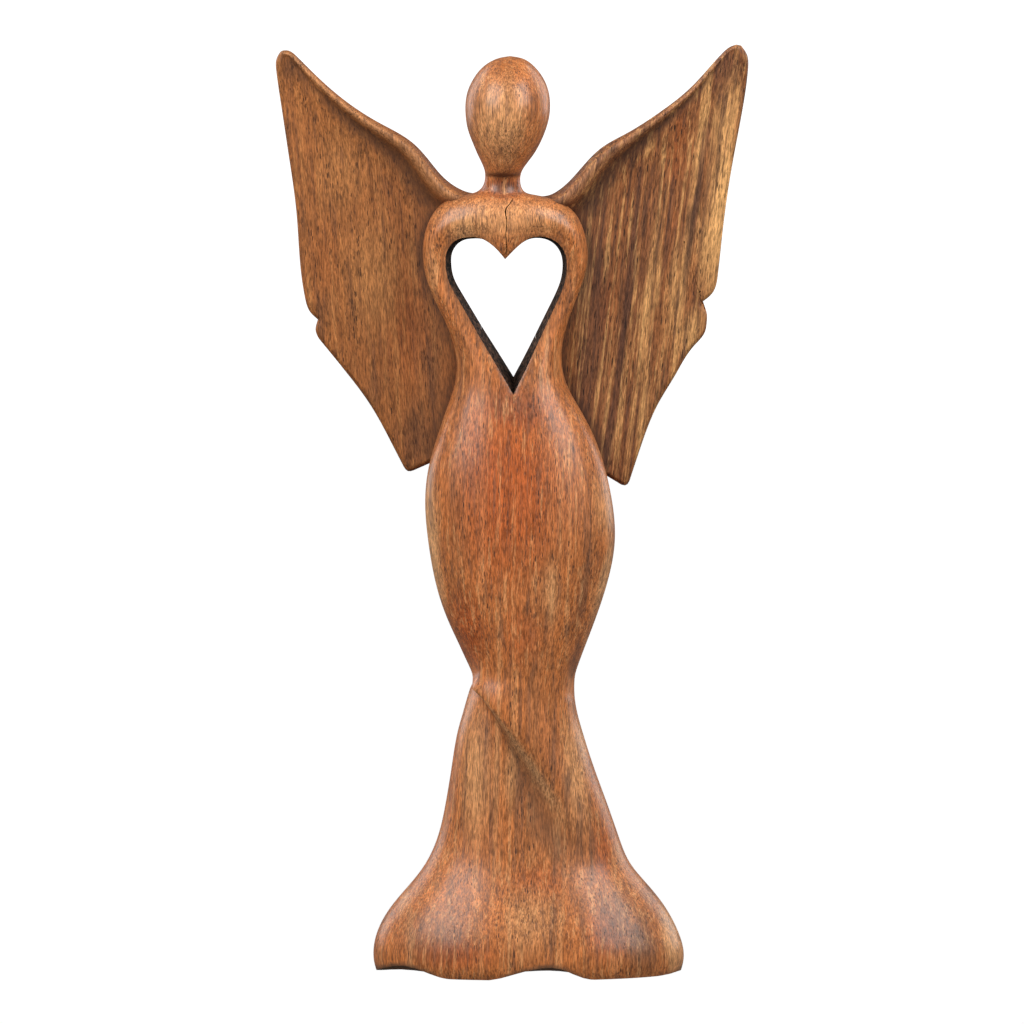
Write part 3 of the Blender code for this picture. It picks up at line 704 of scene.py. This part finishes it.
woods = {
    "figure": {
        "colour": (0.53, 0.166, 0.044), "brown": (0.38, 0.145, 0.052), "red": (0.42, 0.080, 0.015),
        "pale": (0.72, 0.36, 0.15), "dark": (0.16, 0.075, 0.042), "pore": (0.035, 0.015, 0.010),
        # the last two colours: painted shade with some stain for the creases, and the pale of the painted
        # highlights
        "shadeAndStain": (0.13, 0.062, 0.03), "wearAndHighlight": (0.56, 0.30, 0.135),
        "brownShare": 0.4, "streakShare": 0.58, "bandShare": 0.55, "fibre": 0.52,
        "lean": 1.0, "tilt": 5.0, "poreSpacing": 0.58, "poreLength": 3.4, "poreStrength": 0.85,
        "roughness": 0.38, "specular": 0.3, "coat": 0.32, "coatRoughness": 0.24, "bump": 0.5,
        # (-3.5, 252.6) on the neck and the thin line at (-3.5, 257) are painted shadow under the chin
        "darkMarks": [
            (22.5, 124, 4, 20, 14, 0.65), (24.5, 134, 2.5, 10, 16, 0.4), (19.6, 102, 2, 11, 10, 0.5),
            (0, 184, 14, 10, 0, 0.5), (-3.5, 252.6, 8, 4, 0, 0.8), (33, 17, 9, 14, 0, 0.6),
            (-24, 14, 20, 13, 0, 0.4), (12, 17, 1.5, 20, 1, 0.6), (24.5, 40, 1.4, 26, -1, 0.6),
            (41, 12, 6.5, 13, -4, 0.75), (14, 38, 2.6, 9, 4, 0.5), (22, 17, 1.2, 10, 2, 0.35),
            (44, 26, 3, 9, 0, 0.45), (18, 249, 4, 2.6, 0, 0.6), (-19, 250, 4.5, 2.2, 0, 0.5),
            (-3.5, 257, 6, 0.9, 0, 0.8), (8.5, 262, 3, 6, -25, 0.25),
        ],
        # (-3.5, 252.6) darkens and reddens the neck as painted shadow under the chin
        "redMarks": [
            (-2, 156, 25, 46, 0, 0.75), (-14, 112, 9, 20, -8, 0.7), (2, 110, 10, 16, 0, 0.4),
            (0, 181, 17, 13, 0, 0.8), (-3.5, 252.6, 9, 5, 0, 0.9), (-20, 8, 20, 7, 0, 0.6),
            (30, 14, 10, 12, 0, 0.5), (29, 40, 5, 14, 0, 0.5), (8, 30, 12, 10, 0, 0.4),
        ],
        # (-16, 240) and the band at (-3, 243) are painted highlights on the left shoulder and along the top
        # of the shoulders; (-26, 222) is a painted highlight on the left arm's outer edge
        "paleMarks": [
            (-27, 137, 6, 36, -4, 0.95), (51, 12, 4.5, 20, -8, 0.8), (29, 150, 4.5, 16, -8, 0.5),
            (29.5, 127, 3.6, 20, 12, 0.85), (-16, 240, 9, 8, 0, 0.75), (12, 124, 5, 16, 0, 0.5),
            (-12, 66, 8, 30, 0, 0.6), (20, 66, 6, 26, -5, 0.6), (-3, 243, 30, 9, 0, 0.55),
            (-3.5, 274, 13, 19, 0, 0.6), (6, 19, 13, 15, 0, 0.4), (-1, 66, 5, 18, 0, 0.55),
            (-26, 222, 4, 20, 0, 0.4),
        ],
    },
    "leftWing": {
        "colour": (0.37, 0.128, 0.034), "brown": (0.26, 0.085, 0.025), "red": (0.34, 0.09, 0.022),
        "pale": (0.52, 0.22, 0.07), "dark": (0.10, 0.042, 0.022), "pore": (0.022, 0.009, 0.006),
        # the last two colours: painted shade for the creases, and the pale of the painted highlights
        "shadeAndStain": (0.07, 0.03, 0.016), "wearAndHighlight": (0.60, 0.29, 0.13),
        "brownShare": 0.5, "streakShare": 0.5, "bandShare": 0.5, "fibre": 0.5,
        "lean": -3.0, "tilt": 4.0, "poreSpacing": 0.55, "poreLength": 3.4, "poreStrength": 0.9,
        "roughness": 0.5, "specular": 0.25, "coat": 0.06, "coatRoughness": 0.35, "bump": 0.5,
        # (-29.5, 234) is painted shade in the crease where the wing meets the arm
        "darkMarks": [
            (-32, 172, 8, 18, 0, 0.55), (-45, 186, 5, 12, 30, 0.35), (-71, 291, 5, 8, 30, 0.5),
            (-29.5, 234, 1.6, 7, 0, 0.5), (-26, 190, 4, 26, 0, 0.4), (-60, 214, 4, 9, 0, 0.25),
        ],
        "redMarks": [(-34, 205, 9, 30, 0, 0.5), (-60, 230, 6, 20, 0, 0.3)],
        "paleMarks": [(-55, 258, 12, 20, 0, 0.35), (-46, 224, 13, 28, 0, 0.5)],
    },
    "rightWing": {
        "colour": (0.31, 0.108, 0.034), "brown": (0.16, 0.058, 0.024), "red": (0.36, 0.098, 0.025),
        "pale": (0.76, 0.39, 0.14), "dark": (0.085, 0.036, 0.022), "pore": (0.018, 0.008, 0.006),
        # the last two colours: painted shade for the creases, and the pale of the painted highlights
        "shadeAndStain": (0.05, 0.023, 0.014), "wearAndHighlight": (0.46, 0.22, 0.11),
        "brownShare": 0.5, "streakShare": 0.75, "bandShare": 0.75, "fibre": 0.5,
        "lean": 6.0, "tilt": 3.0, "poreSpacing": 0.58, "poreLength": 4.6, "poreStrength": 0.95,
        "roughness": 0.5, "specular": 0.25, "coat": 0.06, "coatRoughness": 0.35, "bump": 0.5,
        "darkMarks": [
            (36.7, 211, 1.3, 62, 5.7, 0.8), (36, 213, 3.4, 66, 5.7, 0.4), (59.2, 246, 2, 48, 6.4, 0.8),
            (27.8, 240, 1.8, 26, 4, 0.4), (22, 196, 5, 26, 4, 0.6), (49.5, 235, 1.1, 26, 6, 0.5),
            (25.5, 212, 7, 44, 4, 0.45), (46, 240, 0.9, 40, 6, 0.4), (54.5, 235, 0.9, 40, 6, 0.4),
            (69, 290, 5, 9, 20, 0.5), (41, 268, 4, 9, 10, 0.35), (31, 172, 3, 18, 4, 0.5),
            (24, 247, 4, 5, 0, 0.5), (40.8, 220, 2.6, 30, 6, 0.3),
        ],
        "redMarks": [(52.5, 266, 4.5, 20, 6, 0.7), (51, 232, 2.4, 22, 6, 0.5), (30, 214, 5, 14, 4, 0.4)],
        "paleMarks": [
            (66.5, 246, 6.5, 42, 6.4, 1), (57.5, 205, 5, 12, 14, 0.7), (68, 272, 6, 22, 6, 0.7),
            (44, 215, 3.2, 40, 6, 0.4), (42, 178, 2.6, 20, 8, 0.35), (52.5, 220, 4, 24, 6, 0.45),
        ],
    },
}


def carvedWood(name, wood):
    material = bpy.data.materials.new(name)
    material.use_nodes = True
    tree = material.node_tree
    shader = tree.nodes["Principled BSDF"]
    place = addNode(tree, "ShaderNodeTexCoord").outputs["Object"]
    turn = (math.radians(wood["tilt"]), math.radians(-wood["lean"]), 0.0)
    leaned = addNode(tree, "ShaderNodeMapping", {"Vector": place, "Rotation": turn}).outputs[0]
    grain = warped(tree, leaned, (55.0, 55.0, 16.0), 0.0011)
    loose = warped(tree, place, (140.0, 140.0, 30.0), 0.006)

    def tint(colour, amount, tone):
        return blendColour(tree, amount, colour, (*wood[tone], 1))

    # broad tone: warm, then browner, then the placed patches
    broad = noise(tree, grain, (30.0, 30.0, 7.0), detail=4.0, roughness=0.6).outputs["Fac"]
    colour = blendColour(tree, fade(tree, broad, 0.42, 0.66, 0.0, wood["brownShare"]), (*wood["colour"], 1),
                         (*wood["brown"], 1))
    bands = noise(tree, grain, (230.0, 40.0, 2.6), detail=3.0, roughness=0.65).outputs["Fac"]
    colour = tint(colour, fade(tree, bands, 0.5, 0.7, 0.0, wood["bandShare"]), "brown")
    colour = tint(colour, fade(tree, bands, 0.47, 0.3, 0.0, wood["bandShare"] * 0.8), "pale")
    for key, tone in (("redMarks", "red"), ("paleMarks", "pale"), ("darkMarks", "dark")):
        colour = tint(colour, markMask(tree, loose, wood[key]), tone)
    # painted highlight: the fold crests and the tops of the wings' ridges are paled
    wearAndHighlight = addNode(tree, "ShaderNodeAttribute", attribute_name="wearAndHighlight").outputs["Fac"]
    colour = tint(colour, wearAndHighlight, "wearAndHighlight")

    # long narrow streaks, dark and light
    streaks = noise(tree, grain, (680.0, 680.0, 12.0), detail=4.0, roughness=0.65).outputs["Fac"]
    colour = tint(colour, fade(tree, streaks, 0.5, 0.66, 0.0, wood["streakShare"]), "dark")
    colour = tint(colour, fade(tree, streaks, 0.48, 0.34, 0.0, wood["streakShare"] * 0.75), "pale")

    # the finest fibres and a faint mottle
    fibres = noise(tree, grain, (2500.0, 2500.0, 330.0), detail=3.0, roughness=0.65).outputs["Fac"]
    mottle = noise(tree, grain, (420.0, 420.0, 110.0), detail=2.0).outputs["Fac"]
    shadeOf = calc(tree, "MULTIPLY", fade(tree, fibres, 0.28, 0.72, 1 - wood["fibre"], 1 + wood["fibre"]),
                   fade(tree, mottle, 0.3, 0.7, 0.88, 1.12))
    grey = addNode(tree, "ShaderNodeCombineColor", {0: shadeOf, 1: shadeOf, 2: shadeOf}).outputs[0]
    colour = blendColour(tree, 1.0, colour, grey, "MULTIPLY")

    # pores: long thin cells, so that they are dashes along the grain and dots across it, thicker in places
    crowd = noise(tree, grain, (150.0, 150.0, 26.0), detail=2.0).outputs["Fac"]
    crowd = fade(tree, crowd, 0.36, 0.58, 0.35, 1.0)
    pores = None
    for share, strength in ((1.0, wood["poreStrength"]), (0.62, wood["poreStrength"] * 0.7)):
        spacing = wood["poreSpacing"] * mm * share
        cells = stretched(tree, grain, (1 / spacing, 1 / spacing, 1 / (wood["poreLength"] * mm * share)))
        voronoi = addNode(tree, "ShaderNodeTexVoronoi", {"Vector": cells, "Scale": 1.0})
        chance = addNode(tree, "ShaderNodeSeparateColor", {0: voronoi.outputs["Color"]})
        size = fade(tree, chance.outputs[0], 0.1, 1.0, 0.10, 0.33)
        edge = calc(tree, "SUBTRACT", voronoi.outputs["Distance"], size)
        spot = fade(tree, edge, -0.04, 0.05, 1.0, 0.0)
        spot = calc(tree, "MULTIPLY", spot, fade(tree, chance.outputs[1], 0.1, 0.6, 0.2 * strength, strength))
        pores = spot if pores is None else calc(tree, "MAXIMUM", pores, spot)
    pores = calc(tree, "MULTIPLY", pores, crowd)
    colour = tint(colour, pores, "pore")

    # painted shade in the creases, with some real stain in the fold valleys
    shadeAndStain = addNode(tree, "ShaderNodeAttribute", attribute_name="shadeAndStain").outputs["Fac"]
    patchy = fade(tree, mottle, 0.3, 0.7, 0.7, 1.0)
    colour = tint(colour, calc(tree, "MULTIPLY", shadeAndStain, patchy), "shadeAndStain")
    tree.links.new(colour, shader.inputs["Base Color"])

    # satin wax: rougher in the pores and in the darkened creases
    rough = fade(tree, fibres, 0.3, 0.7, wood["roughness"] - 0.05, wood["roughness"] + 0.06)
    unwaxed = calc(tree, "MULTIPLY", calc(tree, "MAXIMUM", pores, shadeAndStain), 0.25)
    rough = calc(tree, "ADD", rough, unwaxed, clamp=True)
    tree.links.new(rough, shader.inputs["Roughness"])
    shader.inputs["Coat Weight"].default_value = wood["coat"]
    shader.inputs["Coat Roughness"].default_value = wood["coatRoughness"]
    shader.inputs["Specular IOR Level"].default_value = wood["specular"]

    tools = noise(tree, place, (160.0, 160.0, 60.0), detail=1.0).outputs["Fac"]
    relief = calc(tree, "SUBTRACT", calc(tree, "MULTIPLY", fibres, 0.5), pores)
    relief = calc(tree, "ADD", relief, calc(tree, "MULTIPLY", tools, 0.9))
    bump = addNode(tree, "ShaderNodeBump", {"Strength": wood["bump"], "Distance": 0.0002, "Height": relief})
    tree.links.new(bump.outputs[0], shader.inputs["Normal"])
    return material


def sawnWood(name, colour, grit, roughness=0.75, specular=0.3):
    # unpolished cut faces: the walls of the heart, the seats and the underside
    material = bpy.data.materials.new(name)
    material.use_nodes = True
    tree = material.node_tree
    shader = tree.nodes["Principled BSDF"]
    place = addNode(tree, "ShaderNodeTexCoord").outputs["Object"]
    uneven = warped(tree, place, (200.0, 200.0, 200.0), 0.001)
    rasp = noise(tree, uneven, (900.0, 260.0, 900.0), detail=3.0).outputs["Fac"]
    wearAndHighlight = fade(tree, rasp, 0.35, 0.75)
    toned = blendColour(tree, wearAndHighlight, (*colour, 1), (*grit, 1))
    tree.links.new(toned, shader.inputs["Base Color"])
    shader.inputs["Roughness"].default_value = roughness
    shader.inputs["Specular IOR Level"].default_value = specular
    bump = addNode(tree, "ShaderNodeBump", {"Strength": 0.5, "Distance": 0.0002, "Height": rasp})
    tree.links.new(bump.outputs[0], shader.inputs["Normal"])
    return material


# the heart's walls are near black: dark stained end grain together with painted shade inside the hole
heartWallWood = sawnWood("heartWallWood", (0.012, 0.009, 0.008), (0.13, 0.07, 0.045), 0.9, 0.1)
hiddenWood = sawnWood("hiddenWood", (0.20, 0.085, 0.038), (0.34, 0.16, 0.075))
dowelWood = sawnWood("dowelWood", (0.50, 0.31, 0.15), (0.66, 0.46, 0.26), 0.6)


# Making the pieces

sections = figureSections()
heart = heartCutter()
heart.data.materials.append(heartWallWood)
dowels = [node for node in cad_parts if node.endswith("dowel")]
bores = {dowel: boreCutter(dowel) for dowel in dowels}
seats = [seatCutter(name + "Seat", shape) for name, shape in wingShapes.items()]
check = checkCutter()
hem = hemCutter()
for cutter in [check, hem, *seats, *bores.values()]:
    cutter.data.materials.append(hiddenWood)

figure = loftFigure("carvedFigure", figureShape["columns"])
figure.data.materials.append(carvedWood("figureWood", woods["figure"]))
carveWith(figure, [heart, check, hem, *seats, *bores.values()])
finishCarving(figure)
print("figure carved:", len(figure.data.polygons), "faces")


figurePaint = {
    # for the first fold and the second: stain and painted shade in the valley, painted highlight on the crest
    "valleyStainAndShade": (0.6, 0.2), "crestHighlight": (0.7, 0.2),
    "valleyWidth": [(33, 7.0), (50, 4.6), (62, 3.4), (76, 1.4), (90, 0.8), (115, 1.5)],
    "valleyMiddle": [(33, 5.0), (50, 4.6), (62, 2.8), (76, 1.1), (90, 0.7), (115, 1.0)],
    "crestWidth": [(33, 3.0), (56, 2.0), (76, 1.3), (96, 0.7)],
    # the painted shadow under the chin
    "chinShadow": 0.75, "chinWidth": 0.9,
    # painted shade along the rim of the heart
    "heartRimShade": 0.45, "heartWidth": 0.9,
    # painted shade along the foot's lower edge, darker over the arches
    "hemShade": 0.35, "archShade": 0.6,
}


def paintFigure(points):
    x, y, z = points.T
    shadeAndStain, wearAndHighlight = np.zeros(len(points)), np.zeros(len(points))
    # a brown line in the valley of each fold, partly stain and partly painted shade, broad low down and fine
    # at the waist
    left, right = (np.interp(z, sections[:, 0], sections[:, k]) for k in (1, 2))
    depth = np.interp(z, sections[:, 0], sections[:, 3])
    half = (right - left) / 2
    azimuth = np.degrees(np.arctan2((x - (left + right) / 2) / half, -y / depth))
    for fold, dark, pale in zip(figureShape["folds"], figurePaint["valleyStainAndShade"], figurePaint["crestHighlight"]):
        heights, angles = zip(*fold["line"])
        line = cubicCurve(heights, angles, np.clip(z, heights[0], heights[-1]))[:, 0]
        away = np.radians((azimuth - line + 180) % 360 - 180) * np.sqrt(half * depth)
        width = readTable(figurePaint["valleyWidth"], z)
        middle = -readTable(figurePaint["valleyMiddle"], z)
        shown = ease(34, 46, z) * ease(112, 98, z)
        shadeAndStain = np.maximum(shadeAndStain, dark * shown * np.exp(-(((away - middle) / width) ** 2)))
        # the crest above the valley is painted pale, a painted highlight
        crest = readTable(figurePaint["crestWidth"], z)
        shown = ease(42, 66, z) * ease(102, 96, z)
        wearAndHighlight = np.maximum(wearAndHighlight, pale * shown * np.exp(-(((away - crest * 0.7) / crest) ** 2)))
    # the painted shadow under the chin
    chin = figurePaint["chinShadow"] * np.exp(-(((z - 257.0) / figurePaint["chinWidth"]) ** 2))
    shadeAndStain = np.maximum(shadeAndStain, chin * (y < -3))
    # painted shade along the edge of the heart
    rim = lineDistance(x, z, closedHeart)
    edge = figurePaint["heartRimShade"] * np.exp(-((rim / figurePaint["heartWidth"]) ** 2))
    shadeAndStain = np.maximum(shadeAndStain, edge * (np.abs(y) < 13))
    # painted shade along the foot's lower edge, darkest over the arches
    arch = hemHeight(x, y)
    hemDark = figurePaint["hemShade"] + figurePaint["archShade"] * ease(0.2, 1.6, arch)
    shadeAndStain = np.maximum(shadeAndStain, hemDark * ease(1.3, 0.5, z - arch))
    paint(figure, "shadeAndStain", shadeAndStain)
    paint(figure, "wearAndHighlight", wearAndHighlight)


paintFigure(pointsOf(figure))
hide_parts("figure")
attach(figure, "root")

shoulder = shoulderCutter()
shoulder.data.materials.clear()
shoulder.data.materials.append(hiddenWood)
for name, shape in wingShapes.items():
    wing, top = buildWing(name, shape, sections)
    wing.data.materials.append(carvedWood(name + "Wood", woods[name]))
    ownBores = [bore for dowel, bore in bores.items() if dowel.startswith(shape["node"])]
    carveWith(wing, [shoulder, heart] + ownBores)
    finishCarving(wing)
    x, y, z = pointsOf(wing).T
    edge = np.interp(z, sections[:, 0], sections[:, 1 if shape["side"] < 0 else 2])
    beside = shape["side"] * (x - edge)
    # painted shade on the wing along the figure's side, in the crease where the wing meets the arm
    shadeAndStain = 0.8 * np.exp(-((np.clip(beside, 0, None) / 2.6) ** 2)) * ease(160, 172, z) * ease(254, 246, z)
    width = readTable(shape["ridgeWidth"], shape["side"] * x)
    under = lineDistance(x, z, top) / width
    front = ease(18, 12, y)
    # painted shade in the cove under the ridge
    underRidgeShade = wingMake["underShade"] * ease(0.9, 1.15, under) * ease(2.9, 1.3, under)
    underRidgeShade = underRidgeShade * ease(78, 52, shape["side"] * x)
    shadeAndStain = np.maximum(shadeAndStain, underRidgeShade * front)
    paint(wing, "shadeAndStain", shadeAndStain)
    # painted highlight along the top of the ridge
    paint(wing, "wearAndHighlight", 0.45 * ease(1.0, 0.75, under) * ease(0.05, 0.3, under) * front)
    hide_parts(shape["node"])
    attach(wing, "root")
    print(name, "carved:", len(wing.data.polygons), "faces")

for cutter in [heart, check, hem, shoulder, *seats, *bores.values()]:
    bpy.data.objects.remove(cutter)

for dowel in dowels:
    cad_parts[dowel].data.materials.clear()
    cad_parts[dowel].data.materials.append(dowelWood)


# The studio

studio = {
    "cameraDistance": 3.0, "elevation": math.radians(4.0), "aimHeight": 0.1483, "lens": 327.7,
    "floor": (0.93, 0.93, 0.93), "floorRadius": 3.6, "curve": 0.6, "wallTop": 3.0,
    "lights": [
        # azimuth from the front, elevation, distance, width, height, power
        {"name": "leftSoftbox", "azimuth": -50, "elevation": 36, "distance": 1.1,
         "size": (0.8, 0.8), "power": 11.5},
        {"name": "rightSoftbox", "azimuth": 52, "elevation": 36, "distance": 1.1,
         "size": (0.7, 0.8), "power": 10.6},
        {"name": "leftRimSoftbox", "azimuth": -130, "elevation": 22, "distance": 1.2,
         "size": (0.7, 1.0), "power": 4.2},
        {"name": "rightRimSoftbox", "azimuth": 130, "elevation": 22, "distance": 1.2,
         "size": (0.7, 1.0), "power": 4.2},
    ],
    "worldStrength": 0.12, "paperGlow": 1.02,
}


def buildSweep():
    # a pale round floor that curves up into a wall all the way round, with the camera inside it
    radius, curve, sides = studio["floorRadius"], studio["curve"], 96
    profile = [(radius, 0.0)]
    for step in range(1, 13):
        turn = step / 12 * math.pi / 2
        profile.append((radius + curve * math.sin(turn), curve * (1 - math.cos(turn))))
    profile.append((radius + curve, studio["wallTop"]))
    turns = [2 * math.pi * i / sides for i in range(sides)]
    points = [(r * math.cos(t), r * math.sin(t), z) for r, z in profile for t in turns]
    numbers = np.arange(len(points)).reshape(len(profile), sides).tolist()
    faces = [numbers[0]] + bridgeRows(numbers, closed=True)
    mesh = bpy.data.meshes.new("paperSweep")
    mesh.from_pydata(points, [], faces)
    mesh.shade_smooth()
    sweep = bpy.data.objects.new("paperSweep", mesh)
    bpy.context.scene.collection.objects.link(sweep)
    paper = bpy.data.materials.new("palePaper")
    paper.use_nodes = True
    shader = paper.node_tree.nodes["Principled BSDF"]
    shader.inputs["Base Color"].default_value = (*studio["floor"], 1)
    shader.inputs["Roughness"].default_value = 0.9
    shader.inputs["Emission Color"].default_value = (1.0, 1.0, 1.0, 1.0)
    shader.inputs["Emission Strength"].default_value = studio["paperGlow"]
    mesh.materials.append(paper)
    # the paper stays white to the eye without paling the wood's edges
    sweep.visible_diffuse = sweep.visible_glossy = False


def aimAt(obj, target):
    away = np.array(obj.location) - np.array(target)
    flat = math.hypot(away[0], away[1])
    obj.rotation_euler = (math.atan2(flat, away[2]), 0.0, math.atan2(away[0], -away[1]))


def buildStudio():
    scene = bpy.context.scene
    target = (0.0, 0.0, 0.15)
    for light in studio["lights"]:
        lamp = bpy.data.lights.new(light["name"], "AREA")
        lamp.shape = "RECTANGLE"
        lamp.size, lamp.size_y = light["size"]
        lamp.energy = light["power"]
        made = bpy.data.objects.new(light["name"], lamp)
        azimuth, rise = math.radians(light["azimuth"]), math.radians(light["elevation"])
        flat = light["distance"] * math.cos(rise)
        height = 0.15 + light["distance"] * math.sin(rise)
        made.location = (flat * math.sin(azimuth), -flat * math.cos(azimuth), height)
        aimAt(made, target)
        scene.collection.objects.link(made)
    world = bpy.data.worlds.new("softRoom")
    world.use_nodes = True
    world.node_tree.nodes["Background"].inputs["Color"].default_value = (1.0, 1.0, 1.0, 1.0)
    world.node_tree.nodes["Background"].inputs["Strength"].default_value = studio["worldStrength"]
    scene.world = world
    camera = bpy.data.objects.new("camera", bpy.data.cameras.new("camera"))
    distance, rise = studio["cameraDistance"], studio["elevation"]
    camera.location = (0.0, -distance * math.cos(rise), studio["aimHeight"] + distance * math.sin(rise))
    aimAt(camera, (0.0, 0.0, studio["aimHeight"]))
    camera.data.lens = studio["lens"]
    camera.data.sensor_width = 36.0
    camera.data.clip_end = 20.0
    scene.collection.objects.link(camera)
    scene.camera = camera
    scene.view_settings.view_transform = "Standard"


buildSweep()
buildStudio()
print("studio set")
